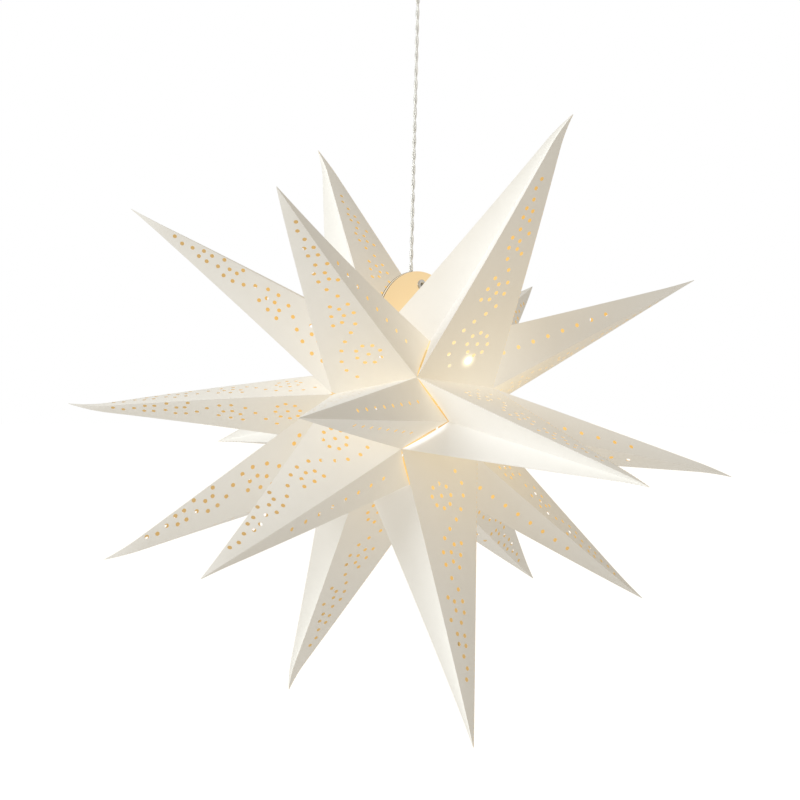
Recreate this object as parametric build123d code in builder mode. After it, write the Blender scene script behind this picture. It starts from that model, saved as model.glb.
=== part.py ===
"""A folding paper star lantern on a twisted cord, hung from a small ceiling cup.

Twelve die-cut sheets are folded, glued back to back and opened like a fan round a level axis.
Each neighbouring pair closes one column of three hollow spikes, so six columns make eighteen spikes.
Two stiff end cards meet on top, where a press stud closes the fan and the cord comes in between them.
Millimetres, +Z up, with the origin in the middle of the face that lies on the ceiling.
"""

import os
from math import asin, cos, pi, radians, sin, tan

from build123d import *

os.makedirs("parts", exist_ok=True)

# --- driving sizes -----------------------------------------------------------------------------

# the star, in its own frame: the fan's axis lies along Y, and a column's angle starts from up
TIP_RADIUS = 300.0  # the middle spike of each column, from the star's centre
POLE_TIP_ALONG = 238.0  # the two outer spikes of each column, along the fan's axis
POLE_TIP_RADIUS = 173.0  # and out from it
POLE_ALONG = 83.0  # where all the outer spikes meet on the axis
RIM_ALONG = 43.0  # where a column's outer and middle spikes meet, at its two sides
RIM_RADIUS = 65.0
VALLEY_ALONG = 15.7  # and at its middle
VALLEY_RADIUS = 77.0
COLUMN_WIDTHS = (71.3, 57.1, 51.6)  # degrees, from the top down; the two sides are alike
STAR_TILT = 5.75  # degrees that the fan's axis leans, because the star hangs a little out of balance
PAPER = 0.3
TIP_BLUNT = 3.0  # how much of each point is lost where the folds run together
SEAM = 0.8  # each folded edge stays this far back from the slit between two spikes
GLUE_FIN = 8.0  # the strip that is glued back to back with the next column's
POLE_HOLE = 2.5  # radius of the small hole where the points meet on the axis

# the two end cards and the press stud that closes them
CARD = 1.0
CARD_BAND = 10.0  # width of the card round the opening for the lamp
TAB_NECK = 10.0  # the straight part of the tab, below its half round
STUD_HEIGHT = 106.5  # above the star's centre
STUD_RADIUS = 4.2
STUD_TUBE = 1.9  # radius of the neck that goes through the card
STUD_SHEET = 0.5  # thickness of the stud's pressed metal
STUD_RELIEF = 0.15  # clearance round the neck and round the post

# the cord, two strands twisted together
STRAND = 1.75
CORD_LENGTH = 250.0  # from the gland's mouth down to the tab
CORD_FIT = 0.15
CORD_LIFT = 0.6  # the round cord ends this far above the sloping edge of the tab
CORD_POINT = 0.3  # radius of the blunt point that the round cord turns on

# the ceiling cup
CUP_RADIUS = 40.0
CUP_HEIGHT = 30.0
CUP_WALL = 1.8
CUP_BEVEL = 2.0
CUP_FIT = 0.3
BRACKET_WIDTH = 16.0
BRACKET_SHEET = 1.5
BRACKET_EAR = 12.0
MOUNT_SPACING = 50.0
MOUNT_HOLE = 2.25  # radius
SCREW_RADIUS = 1.5
SCREW_FIT = 0.2
THREAD_FIT = 0.05
SCREW_HEAD_RADIUS = 2.8
SCREW_HEAD = 1.8
SCREW_BEYOND = 2.0  # how far a screw's point shows past the ear
GLAND_RADIUS = 5.0
GLAND_COLLAR = 8.5  # radius of the flange inside the cup
GLAND_FLANGE = 2.0
GLAND_NOSE = 16.0
GLAND_LIP = 1.5  # the wall left round the wider bore at its mouth
SWING = 20.0  # degrees the cord may swing before it meets the gland's mouth
BLOCK_LENGTH = 20.0
BLOCK_WIDTH = 13.0
BLOCK_HEIGHT = 11.0
BLOCK_PITCH = 9.0
BLOCK_SCREW = 1.4  # radius

# the lamp: a low-voltage globe that pushes into a moulded holder
LAMP_LEAN = 75.0  # degrees from plumb; the short stiff lead holds the lamp out sideways
LAMP_TURN = 49.3  # degrees from +X towards +Y
STOP_RADIUS = 4.5
STOP_HEIGHT = 5.0
LEAD_RUN = 6.0
LEAD_BEND = 0.9  # share of each run that its bend takes up
HOLDER_RADIUS = 8.5
HOLDER_LENGTH = 24.0
HOLDER_WALL = 1.8
SOCKET_DEPTH = 9.0
BASE_FIT = 0.2
BASE_LIFT = 1.5  # from the socket's floor to the foot of the bulb's base
CONTACT = 0.5
CONTACT_WIDTH = 3.0
CONTACT_LENGTH = 4.5
PIN_WIDTH = 1.6
PIN = 0.6
GLOBE_RADIUS = 16.0
GLOBE_NECK = 7.0
GLOBE_WALL = 0.9
GLOBE_BANDS = 7  # the round of the globe is drawn with flat facets
GLOBE_SIDES = 20
COLLAR_HEIGHT = 3.0
BOARD = 1.0
BOARD_WIDTH = 8.0
CHIP = 2.0
CHIP_COUNT = 5
CHIP_RING = 2.8  # radius of the circle that the chips sit on
LIGHT_ROOM = 6.0  # the space over the board

# --- places worked out from them ---------------------------------------------------------------

CORD = 2 * STRAND
CARD_GAP = STRAND + CORD_FIT
CARD_OUTER = CARD_GAP / 2 + CARD
GLAND_TOP = -CUP_HEIGHT
GLAND_MOUTH = GLAND_TOP - GLAND_NOSE
TAB_CENTRE = RIM_RADIUS + TAB_NECK
TAB_RADIUS = RIM_ALONG
TILT = radians(STAR_TILT)


def height_on_tab():
    """How far above the star's centre the plumb line leaves the tab's round edge."""
    b = TAB_CENTRE * cos(TILT)
    return b + (b * b - TAB_CENTRE**2 + TAB_RADIUS**2) ** 0.5


TAB_TOP = GLAND_MOUTH - CORD_LENGTH
STAR_Z = TAB_TOP - height_on_tab()
STAR = Plane(origin=(0, 0, STAR_Z), x_dir=(1, 0, 0), z_dir=(0, sin(TILT), cos(TILT)))
CARD_EDGE = STAR_Z + (RIM_RADIUS - CARD_BAND) / cos(TILT)  # where the plumb line leaves the cards


def in_star(x, y, z):
    return STAR.from_local_coords(Vector(x, y, z))


def save(builder, name):
    builder.part.label = name
    export_step(builder.part, f"parts/{name}.step")


def profile(plane, points):
    """A closed outline on a plane."""
    with BuildSketch(plane) as outline:
        with BuildLine():
            Polyline(*points, close=True)
        make_face()
    return outline.sketch


def turn(plane, points):
    """A turned shape: the plane's Y is the turning axis, and points are (radius, along)."""
    revolve(profile(plane, points), axis=Axis(plane.origin, plane.y_dir))


# --- the paper sheets --------------------------------------------------------------------------


def fold_panel(corners, inside):
    """One flat panel between folds. Its outer face runs through the corners, away from inside."""
    start = corners[0]
    normal = (corners[1] - start).cross(corners[2] - start)
    if normal.dot(start - inside) < 0:
        normal = -normal
    plane = Plane(origin=start, x_dir=corners[1] - start, z_dir=normal)
    flat = [plane.to_local_coords(corner) for corner in corners]
    extrude(profile(plane, [(p.X, p.Y) for p in flat]), amount=-PAPER)


def towards(start, end, distance):
    return start + (end - start).normalized() * distance


def middle(*points):
    return sum(points[1:], points[0]) / len(points)


def flower_panel(tip, first, second, inside):
    """A spike's perforated side, from its blunt tip to the fold at its foot."""
    fold_panel([towards(tip, first, TIP_BLUNT), first, second, towards(tip, second, TIP_BLUNT)], inside)


def gusset_panel(tip, rim, valley, inside):
    """Half of the fold that lets a spike close flat, cut back from the slit along its foot."""
    corners = [towards(tip, rim, TIP_BLUNT), towards(rim, tip, SEAM)]
    corners += [towards(valley, tip, SEAM), towards(tip, valley, TIP_BLUNT)]
    fold_panel(corners, inside)


def folded_sheet(side_angle, middle_angle, seat):
    """Half a column: three half spikes on one glue fin, which stands off its plane by seat."""
    turn_way = 1 if middle_angle > side_angle else -1
    a, m = radians(side_angle), radians(middle_angle)
    off = Vector(cos(a), 0, -sin(a)) * turn_way  # from the glued plane towards the column's middle

    def on_side(along, radius):
        shift = off * seat
        return in_star(radius * sin(a) + shift.X, along, radius * cos(a) + shift.Z)

    def on_middle(along, radius):
        return in_star(radius * sin(m), along, radius * cos(m))

    with BuildPart() as sheet:
        for end in (-1, 1):
            pole = on_side(end * POLE_ALONG, 0)
            rim = on_side(end * RIM_ALONG, RIM_RADIUS)
            valley = on_middle(end * VALLEY_ALONG, VALLEY_RADIUS)
            tip = on_middle(end * POLE_TIP_ALONG, POLE_TIP_RADIUS)
            inside = middle(pole, rim, valley, tip)
            flower_panel(tip, pole, rim, inside)
            gusset_panel(tip, rim, valley, inside)
        tip = on_middle(0, TIP_RADIUS)
        rims = [on_side(end * RIM_ALONG, RIM_RADIUS) for end in (-1, 1)]
        valleys = [on_middle(end * VALLEY_ALONG, VALLEY_RADIUS) for end in (-1, 1)]
        inside = middle(tip, *rims, *valleys)
        flower_panel(tip, rims[0], rims[1], inside)
        for rim, valley in zip(rims, valleys):
            gusset_panel(tip, rim, valley, inside)
        slope = Vector(POLE_ALONG - RIM_ALONG, RIM_RADIUS).normalized()
        foot = POLE_ALONG - GLUE_FIN / slope.Y
        shoulder = RIM_ALONG - GLUE_FIN * (1 - slope.X) / slope.Y
        edge = RIM_RADIUS - GLUE_FIN
        band = [(-POLE_ALONG, 0), (-RIM_ALONG, RIM_RADIUS), (RIM_ALONG, RIM_RADIUS), (POLE_ALONG, 0)]
        band += [(foot, 0), (shoulder, edge), (-shoulder, edge), (-foot, 0)]
        fin = [on_side(*point) for point in band]
        fold_panel(fin, fin[0] + in_star(off.X, 0, off.Z) - STAR.origin)
        fold = STAR.from_local_coords(Vector(cos(m), 0, -sin(m))) - STAR.origin
        split(bisect_by=Plane(origin=STAR.origin, z_dir=fold * -turn_way), keep=Keep.TOP)
        with BuildSketch(Plane(origin=STAR.origin, x_dir=(1, 0, 0), z_dir=STAR.y_dir)) as bore:
            Circle(POLE_HOLE)
        extrude(bore.sketch, amount=POLE_ALONG + POLE_HOLE, both=True, mode=Mode.SUBTRACT)
    return sheet


column_edges = [0.0]
for width in COLUMN_WIDTHS + COLUMN_WIDTHS[::-1]:
    column_edges.append(column_edges[-1] + width)

sheet_number = 0
for low, high in zip(column_edges, column_edges[1:]):
    centre_angle = (low + high) / 2
    for edge in (low, high):
        sheet_number += 1
        at_closure = edge in (column_edges[0], column_edges[-1])
        paper_sheet = folded_sheet(edge, centre_angle, CARD_OUTER if at_closure else 0.0)
        save(paper_sheet, f"paper_sheet_{sheet_number:02d}")


# --- the closure: two end cards and a press stud -------------------------------------------------


def end_card(way):
    """A stiff card on one side of the cord: an arch round the lamp, with a half-round tab on top."""
    side = Plane(origin=in_star(way * CARD_GAP / 2, 0, 0), x_dir=STAR.y_dir, z_dir=STAR.x_dir)
    slope = Vector(POLE_ALONG - RIM_ALONG, RIM_RADIUS).normalized()
    foot = POLE_ALONG - CARD_BAND / slope.Y
    shoulder = RIM_ALONG - CARD_BAND * (1 - slope.X) / slope.Y
    tab_top = (0, TAB_CENTRE + TAB_RADIUS)
    with BuildPart() as card:
        with BuildSketch(side) as outline:
            with BuildLine():
                Polyline(
                    (-TAB_RADIUS, TAB_CENTRE),
                    (-RIM_ALONG, RIM_RADIUS),
                    (-POLE_ALONG, 0),
                    (POLE_ALONG, 0),
                    (RIM_ALONG, RIM_RADIUS),
                    (TAB_RADIUS, TAB_CENTRE),
                )
                ThreePointArc((TAB_RADIUS, TAB_CENTRE), tab_top, (-TAB_RADIUS, TAB_CENTRE))
            make_face()
            with BuildLine():
                Polyline(
                    (-foot, 0),
                    (-shoulder, RIM_RADIUS - CARD_BAND),
                    (shoulder, RIM_RADIUS - CARD_BAND),
                    (foot, 0),
                    close=True,
                )
            make_face(mode=Mode.SUBTRACT)
            with Locations((-POLE_ALONG, 0), (POLE_ALONG, 0)):
                Circle(POLE_HOLE, mode=Mode.SUBTRACT)
            with Locations((0, STUD_HEIGHT)):
                Circle(STUD_TUBE + STUD_RELIEF, mode=Mode.SUBTRACT)
        extrude(outline.sketch, amount=way * CARD)
    return card


def stud_plane(way):
    """The stud's axis as the plane's Y, pointing out through one card."""
    centre = in_star(0, 0, STUD_HEIGHT)
    return Plane(origin=centre, x_dir=STAR.y_dir, z_dir=STAR.z_dir * -way)


def stud_ring(way):
    """The ring that shows on one card: a flange on a neck that goes through the card."""
    bore = STUD_TUBE - STUD_SHEET
    face = CARD_OUTER + STUD_SHEET
    with BuildPart() as ring:
        outline = [(bore, CARD_GAP / 2), (STUD_TUBE, CARD_GAP / 2), (STUD_TUBE, CARD_OUTER)]
        turn(stud_plane(way), outline + [(STUD_RADIUS, CARD_OUTER), (STUD_RADIUS, face), (bore, face)])
    return ring


def stud_socket():
    """The half between the cards that the post snaps into."""
    bore = STUD_TUBE - STUD_SHEET
    top = CARD_GAP / 2
    floor = top - STUD_SHEET
    with BuildPart() as socket:
        turn(stud_plane(1), [(bore, floor), (STUD_RADIUS, floor), (STUD_RADIUS, top), (bore, top)])
    return socket


def stud_post():
    """The other half between the cards: a flange with the post on it."""
    radius = STUD_TUBE - STUD_SHEET - STUD_RELIEF
    top = CARD_GAP / 2
    floor = top - STUD_SHEET
    with BuildPart() as post:
        outline = [(0, top), (0, STUD_RELIEF - top), (radius, STUD_RELIEF - top), (radius, floor)]
        turn(stud_plane(-1), outline + [(STUD_RADIUS, floor), (STUD_RADIUS, top)])
    return post


for way, hand in ((1, "right"), (-1, "left")):
    save(end_card(way), f"end_card_{hand}")
    save(stud_ring(way), f"stud_ring_{hand}")
save(stud_socket(), "stud_socket")
save(stud_post(), "stud_post")


# --- the ceiling cup and what is in it -----------------------------------------------------------

CUP_SIDE = CUP_RADIUS - CUP_WALL
BRACKET_REACH = ((CUP_SIDE - CUP_FIT) ** 2 - (BRACKET_WIDTH / 2) ** 2) ** 0.5  # its corners clear the cup
EAR_SCREW = -BRACKET_EAR / 2 - BRACKET_SHEET / 2
BLOCK_TOP = -BRACKET_SHEET
BLOCK_FOOT = BLOCK_TOP - BLOCK_HEIGHT

with BuildPart() as ceiling_cup:
    outline = [(0, GLAND_TOP), (CUP_RADIUS - CUP_BEVEL, GLAND_TOP), (CUP_RADIUS, GLAND_TOP + CUP_BEVEL)]
    outline += [(CUP_RADIUS, 0), (CUP_SIDE, 0), (CUP_SIDE, GLAND_TOP + CUP_WALL)]
    turn(Plane.XZ, outline + [(0, GLAND_TOP + CUP_WALL)])
    with BuildSketch(Plane.XY.offset(GLAND_TOP)) as neck:
        Circle(GLAND_RADIUS)
    extrude(neck.sketch, amount=CUP_WALL, mode=Mode.SUBTRACT)
    with BuildSketch(Plane.YZ) as screw_hole:
        with Locations((0, EAR_SCREW)):
            Circle(SCREW_RADIUS + SCREW_FIT)
    extrude(screw_hole.sketch, amount=CUP_RADIUS, both=True, mode=Mode.SUBTRACT)
save(ceiling_cup, "ceiling_cup")

with BuildPart() as ceiling_bracket:
    with BuildSketch(Plane.XZ) as strip:
        with BuildLine():
            Polyline(
                (-BRACKET_REACH, 0),
                (BRACKET_REACH, 0),
                (BRACKET_REACH, -BRACKET_EAR),
                (BRACKET_REACH - BRACKET_SHEET, -BRACKET_EAR),
                (BRACKET_REACH - BRACKET_SHEET, -BRACKET_SHEET),
                (BRACKET_SHEET - BRACKET_REACH, -BRACKET_SHEET),
                (BRACKET_SHEET - BRACKET_REACH, -BRACKET_EAR),
                (-BRACKET_REACH, -BRACKET_EAR),
                close=True,
            )
        make_face()
    extrude(strip.sketch, amount=BRACKET_WIDTH / 2, both=True)
    with BuildSketch(Plane.XY) as mount_holes:
        with Locations((-MOUNT_SPACING / 2, 0), (MOUNT_SPACING / 2, 0)):
            Circle(MOUNT_HOLE)
    extrude(mount_holes.sketch, amount=-BRACKET_SHEET, mode=Mode.SUBTRACT)
    with BuildSketch(Plane.YZ) as ear_holes:
        with Locations((0, EAR_SCREW)):
            Circle(SCREW_RADIUS + THREAD_FIT)
    extrude(ear_holes.sketch, amount=BRACKET_REACH, both=True, mode=Mode.SUBTRACT)
save(ceiling_bracket, "ceiling_bracket")

with BuildPart() as cup_screws:
    for way in (1, -1):
        axis_plane = Plane(origin=(0, 0, EAR_SCREW), x_dir=(0, 0, 1), z_dir=(0, way, 0))
        point = BRACKET_REACH - BRACKET_SHEET - SCREW_BEYOND
        top = CUP_RADIUS + SCREW_HEAD
        outline = [(0, point), (SCREW_RADIUS, point), (SCREW_RADIUS, CUP_RADIUS)]
        turn(axis_plane, outline + [(SCREW_HEAD_RADIUS, CUP_RADIUS), (SCREW_HEAD_RADIUS, top), (0, top)])
save(cup_screws, "cup_screws")

BLOCK_ROW = BLOCK_WIDTH / 4
BLOCK_SCREWS = [(way * BLOCK_PITCH / 2, row) for way in (-1, 1) for row in (-BLOCK_ROW, BLOCK_ROW)]

with BuildPart() as terminal_block:
    with BuildSketch(Plane.XY.offset(BLOCK_FOOT)) as block:
        Rectangle(BLOCK_LENGTH, BLOCK_WIDTH)
    extrude(block.sketch, amount=BLOCK_HEIGHT)
    with BuildSketch(Plane.XY.offset(BLOCK_FOOT)) as chimneys:
        with Locations(*BLOCK_SCREWS):
            Circle(BLOCK_SCREW + SCREW_FIT)
    extrude(chimneys.sketch, amount=BLOCK_HEIGHT / 2, mode=Mode.SUBTRACT)
save(terminal_block, "terminal_block")

with BuildPart() as terminal_screws:
    with BuildSketch(Plane.XY.offset(BLOCK_FOOT + BLOCK_SCREW)) as screws:
        with Locations(*BLOCK_SCREWS):
            Circle(BLOCK_SCREW)
    extrude(screws.sketch, amount=BLOCK_HEIGHT / 2 - BLOCK_SCREW)
save(terminal_screws, "terminal_screws")

# the cord turns about a point just inside the gland's mouth, where its bore is wider
MOUTH_RADIUS = GLAND_RADIUS - GLAND_LIP
CORD_BORE = CORD / 2 + CORD_FIT
MOUTH_DEPTH = (MOUTH_RADIUS - CORD_BORE) / tan(radians(SWING))
SWING_Z = GLAND_MOUTH + MOUTH_DEPTH
TAIL_FOOT = SWING_Z + CORD / 2
CORD_FOOT = TAB_TOP + CORD_LIFT
GRUB_Z = GLAND_TOP - GLAND_NOSE / 3

with BuildPart() as cord_gland:
    bore_top = GLAND_TOP + CUP_WALL + GLAND_FLANGE
    shank = GLAND_RADIUS - CORD_FIT
    outline = [(CORD_BORE, bore_top), (GLAND_COLLAR, bore_top), (GLAND_COLLAR, GLAND_TOP + CUP_WALL)]
    outline += [(shank, GLAND_TOP + CUP_WALL), (shank, GLAND_MOUTH), (MOUTH_RADIUS, GLAND_MOUTH)]
    turn(Plane.XZ, outline + [(MOUTH_RADIUS, SWING_Z), (CORD_BORE, SWING_Z)])
    with BuildSketch(Plane.YZ) as grub_hole:
        with Locations((0, GRUB_Z)):
            Circle(BLOCK_SCREW + THREAD_FIT)
    extrude(grub_hole.sketch, amount=GLAND_RADIUS, mode=Mode.SUBTRACT)
save(cord_gland, "cord_gland")

with BuildPart() as gland_screw:
    with BuildSketch(Plane.YZ.offset(CORD / 2)) as grub:
        with Locations((0, GRUB_Z)):
            Circle(BLOCK_SCREW)
    extrude(grub.sketch, amount=GLAND_RADIUS - GLAND_LIP / 2 - CORD / 2)
save(gland_screw, "gland_screw")


# --- the cord --------------------------------------------------------------------------------------

with BuildPart() as cord_tail:
    with BuildSketch(Plane.XY.offset(TAIL_FOOT)) as pair:
        Circle(CORD / 2)
    extrude(pair.sketch, amount=BLOCK_FOOT - TAIL_FOOT)
save(cord_tail, "cord_tail")

with BuildPart() as free_cord:
    outline = [(0, TAIL_FOOT), (CORD_POINT, TAIL_FOOT - CORD_POINT), (CORD / 2, SWING_Z)]
    turn(Plane.XZ, outline + [(CORD / 2, CORD_FOOT), (0, CORD_FOOT)])
save(free_cord, "free_cord")

# between the cards the two strands lie side by side
with BuildPart() as cord_between_cards:
    seat = CARD_EDGE + CORD / 2 * tan(TILT)
    with BuildSketch(Plane.XY.offset(seat)) as flat_pair:
        SlotOverall(CORD, STRAND, rotation=90)
    extrude(flat_pair.sketch, amount=CORD_FOOT - seat)
save(cord_between_cards, "cord_between_cards")

# a moulded bead under the cards' edge, which carries the star's weight
with BuildPart() as cord_stop:
    with BuildSketch(Plane(origin=(0, 0, CARD_EDGE), x_dir=STAR.x_dir, z_dir=STAR.z_dir)) as bead:
        Circle(STOP_RADIUS)
    extrude(bead.sketch, amount=-STOP_HEIGHT)
save(cord_stop, "cord_stop")


# --- the lamp --------------------------------------------------------------------------------------

lean = radians(LAMP_LEAN)
aside = Vector(cos(radians(LAMP_TURN)), sin(radians(LAMP_TURN)), 0)
across = Vector(0, 0, 1).cross(aside)
LAMP_AXIS = aside * sin(lean) - Vector(0, 0, cos(lean))
LEAD_TOP = Vector(0, 0, CARD_EDGE) - STAR.z_dir * STOP_HEIGHT
LEAD_CORNER = LEAD_TOP - STAR.z_dir * LEAD_RUN
HOLDER_BACK = LEAD_CORNER + LAMP_AXIS * LEAD_RUN
LAMP = Plane(origin=HOLDER_BACK, x_dir=LAMP_AXIS.cross(across), z_dir=across)  # its Y is the lamp's axis
LEAD_TURN = radians((STAR.z_dir * -1).get_angle(LAMP_AXIS))
LEAD_RADIUS = LEAD_BEND * LEAD_RUN / tan(LEAD_TURN / 2)

# the two strands lie side by side here too, in one flat moulded lead
with BuildPart() as lamp_lead:
    with BuildLine() as lead_path:
        FilletPolyline(LEAD_TOP, LEAD_CORNER, HOLDER_BACK, radius=LEAD_RADIUS)
    flat_side = STAR.z_dir.cross(LAMP_AXIS)
    with BuildSketch(Plane(origin=LEAD_TOP, x_dir=flat_side, z_dir=STAR.z_dir * -1)) as lead:
        Rectangle(CORD, STRAND)
    sweep(lead.sketch, path=lead_path.line)
save(lamp_lead, "lamp_lead")

BASE_RADIUS = HOLDER_RADIUS - HOLDER_WALL - BASE_FIT
SOCKET_FLOOR = HOLDER_LENGTH - SOCKET_DEPTH
BASE_FOOT = SOCKET_FLOOR + BASE_LIFT
GLASS_FOOT = HOLDER_LENGTH + COLLAR_HEIGHT
PIN_PLACES = [(way * BASE_RADIUS / 2, 0) for way in (1, -1)]


def lamp_floor(along):
    """A plane square to the lamp's axis."""
    return Plane(origin=HOLDER_BACK + LAMP_AXIS * along, x_dir=across, z_dir=LAMP_AXIS)


with BuildPart() as lamp_holder:
    mouth = HOLDER_RADIUS - HOLDER_WALL
    outline = [(0, 0), (HOLDER_RADIUS, 0), (HOLDER_RADIUS, HOLDER_LENGTH), (mouth, HOLDER_LENGTH)]
    turn(LAMP, outline + [(mouth, SOCKET_FLOOR), (0, SOCKET_FLOOR)])
save(lamp_holder, "lamp_holder")

with BuildPart() as holder_contacts:
    with BuildSketch(lamp_floor(SOCKET_FLOOR)) as leaves:
        with Locations(*PIN_PLACES):
            Rectangle(CONTACT_WIDTH, CONTACT_LENGTH)
    extrude(leaves.sketch, amount=CONTACT)
save(holder_contacts, "holder_contacts")

with BuildPart() as bulb_pins:
    with BuildSketch(lamp_floor(SOCKET_FLOOR + CONTACT)) as pins:
        with Locations(*PIN_PLACES):
            Rectangle(PIN, PIN_WIDTH)
    extrude(pins.sketch, amount=BASE_FOOT - SOCKET_FLOOR - CONTACT)
save(bulb_pins, "bulb_pins")

with BuildPart() as bulb_base:
    outline = [(0, BASE_FOOT), (BASE_RADIUS, BASE_FOOT), (BASE_RADIUS, HOLDER_LENGTH)]
    turn(LAMP, outline + [(HOLDER_RADIUS, HOLDER_LENGTH), (HOLDER_RADIUS, GLASS_FOOT), (0, GLASS_FOOT)])
save(bulb_base, "bulb_base")

GLOBE_RISE = (GLOBE_RADIUS**2 - GLOBE_NECK**2) ** 0.5
GLOBE_CENTRE = GLASS_FOOT + GLOBE_RISE
GLOBE_START = asin(GLOBE_NECK / GLOBE_RADIUS)  # the neck's angle from the globe's axis
BAND_ANGLE = (pi - 2 * GLOBE_START) / GLOBE_BANDS


def globe_ring(band):
    """The corners of the globe's facets at the foot of one band."""
    angle = GLOBE_START + band * BAND_ANGLE
    level = lamp_floor(GLOBE_CENTRE - GLOBE_RADIUS * cos(angle))
    radius = GLOBE_RADIUS * sin(angle)
    turns = [2 * pi * side / GLOBE_SIDES for side in range(GLOBE_SIDES)]
    return [level.from_local_coords(Vector(radius * cos(t), radius * sin(t))) for t in turns]


rings = [globe_ring(band) for band in range(GLOBE_BANDS + 1)]
facets = [rings[0], rings[-1]]
for lower, upper in zip(rings, rings[1:]):
    for side in range(GLOBE_SIDES):
        facets.append([lower[side - 1], lower[side], upper[side], upper[side - 1]])

with BuildPart() as bulb_globe:
    add(Solid(Shell([Face(Wire.make_polygon(corners)) for corners in facets])))
    with BuildSketch(lamp_floor(GLASS_FOOT)) as room:
        Circle(GLOBE_NECK - GLOBE_WALL)
    extrude(room.sketch, amount=BOARD + LIGHT_ROOM, mode=Mode.SUBTRACT)
save(bulb_globe, "bulb_globe")

with BuildPart() as led_board:
    with BuildSketch(lamp_floor(GLASS_FOOT)) as board:
        Rectangle(BOARD_WIDTH, BOARD_WIDTH)
    extrude(board.sketch, amount=BOARD)
save(led_board, "led_board")

with BuildPart() as led_chips:
    with BuildSketch(lamp_floor(GLASS_FOOT + BOARD)) as chips:
        with PolarLocations(CHIP_RING, CHIP_COUNT):
            Rectangle(CHIP, CHIP)
    extrude(chips.sketch, amount=BOARD)
save(led_chips, "led_chips")

print(f"the lead into the lamp bends at a radius of {LEAD_RADIUS:.1f}, and is {STRAND:.2f} thick")
print(f"free cord {CORD_LENGTH:.0f}, star's centre at {STAR_Z:.2f}, swing centre at {SWING_Z:.2f}")
print(f"globe's centre {HOLDER_BACK + LAMP_AXIS * GLOBE_CENTRE}, lamp axis {LAMP_AXIS}")
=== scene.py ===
"""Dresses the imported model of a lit, folding paper star on its cord.

The view and the cord come first, then the punched paper sheets, the two cards and the stud that
close them, the lamp inside, the ceiling cup, and last the white room that they hang in.
Metres, +Z up, with the origin on the ceiling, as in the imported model.
"""

from functools import partial
from math import asin, cos, pi, radians, sin, tan

import bmesh
import bpy
import numpy as np
from mathutils import Matrix, Vector


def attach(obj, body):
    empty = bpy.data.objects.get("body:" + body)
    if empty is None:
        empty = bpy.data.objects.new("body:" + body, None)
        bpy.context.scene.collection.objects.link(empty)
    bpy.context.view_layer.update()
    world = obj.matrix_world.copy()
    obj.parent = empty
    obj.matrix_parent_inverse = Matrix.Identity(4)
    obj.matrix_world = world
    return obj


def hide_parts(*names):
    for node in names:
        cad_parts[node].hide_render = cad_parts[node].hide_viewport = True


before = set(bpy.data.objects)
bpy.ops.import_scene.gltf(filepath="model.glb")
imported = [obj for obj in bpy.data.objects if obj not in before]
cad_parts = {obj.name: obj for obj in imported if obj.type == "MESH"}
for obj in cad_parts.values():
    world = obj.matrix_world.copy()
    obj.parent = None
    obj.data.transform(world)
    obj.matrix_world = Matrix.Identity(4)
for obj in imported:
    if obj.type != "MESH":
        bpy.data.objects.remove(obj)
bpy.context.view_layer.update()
scene = bpy.context.scene
MM = 0.001

# --- the view ----------------------------------------------------------------------------------
# A long lens, level with the star and a metre and a half away from it, turned and leaning
# a little as the photograph was taken.

STAR_CENTRE = Vector((0, 0, -412.96)) * MM
VIEW_OFFSET = Vector((1182.5, -961.6, 41.7)) * MM
VIEW_YAW = radians(-51.14)
VIEW_PITCH = radians(1.43)
VIEW_ROLL = radians(1.44)
SENSOR_WIDTH = 36  # in millimetres, as is the focal length
FOCAL_LENGTH = 77.7

view_turn = Matrix.Rotation(VIEW_ROLL, 3, "Y") @ Matrix.Rotation(VIEW_PITCH, 3, "X")
view_turn = view_turn @ Matrix.Rotation(VIEW_YAW, 3, "Z")
VIEW_RIGHT, VIEW_AWAY, VIEW_UP = (Vector(row) for row in view_turn)
camera = bpy.data.objects.new("camera", bpy.data.cameras.new("camera"))
camera.data.sensor_width = SENSOR_WIDTH
camera.data.lens = FOCAL_LENGTH
facing = view_turn.transposed() @ Matrix.Rotation(pi / 2, 3, "X")
camera.matrix_world = Matrix.Translation(STAR_CENTRE + VIEW_OFFSET) @ facing.to_4x4()
scene.collection.objects.link(camera)
scene.camera = camera

# --- the cord ----------------------------------------------------------------------------------
# Two strands of tinned copper wire in clear soft plastic, twisted round each other. The cord
# hangs straight from the gland's mouth and goes in between the two cards on top of the star.

STRAND = 1.75 * MM
STRAND_CORE = 0.95 * MM
TWIST = 24.8 * MM  # one full turn of the pair
STEPS_PER_TURN = 28
STRAND_SIDES = 14
DRAW_GRAIN = 1.11 * MM  # the plastic's marks and the fine wires, both drawn coarse so that they show
WIRE_SPACING = 2.38 * MM
CORD_ROUTE = [Vector((0, 0, z)) * MM for z in (-41.604, -62.6, -274.4, -295.4)]


def srgb(code):
    """A hex colour as Blender's linear one."""
    parts = [int(code[i:i + 2], 16) / 255 for i in (1, 3, 5)]
    return (*[c / 12.92 if c <= 0.04045 else ((c + 0.055) / 1.055) ** 2.4 for c in parts], 1)


def add(tree, kind, links=(), **settings):
    """Adds a node. links gives each input a value, or another node's output to follow."""
    made = tree.nodes.new(kind)
    for name, value in settings.items():
        setattr(made, name, value)
    for key, value in dict(links).items():
        if isinstance(value, bpy.types.NodeSocket):
            tree.links.new(value, made.inputs[key])
        else:
            made.inputs[key].default_value = value
    return made


def new_material(name, **surface):
    """A material with one Principled shader, and its node tree."""
    material = bpy.data.materials.new(name)
    material.use_nodes = True
    shader = material.node_tree.nodes["Principled BSDF"]
    for key, value in surface.items():
        shader.inputs[key.replace("_", " ")].default_value = value
    return material, material.node_tree, shader


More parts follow.
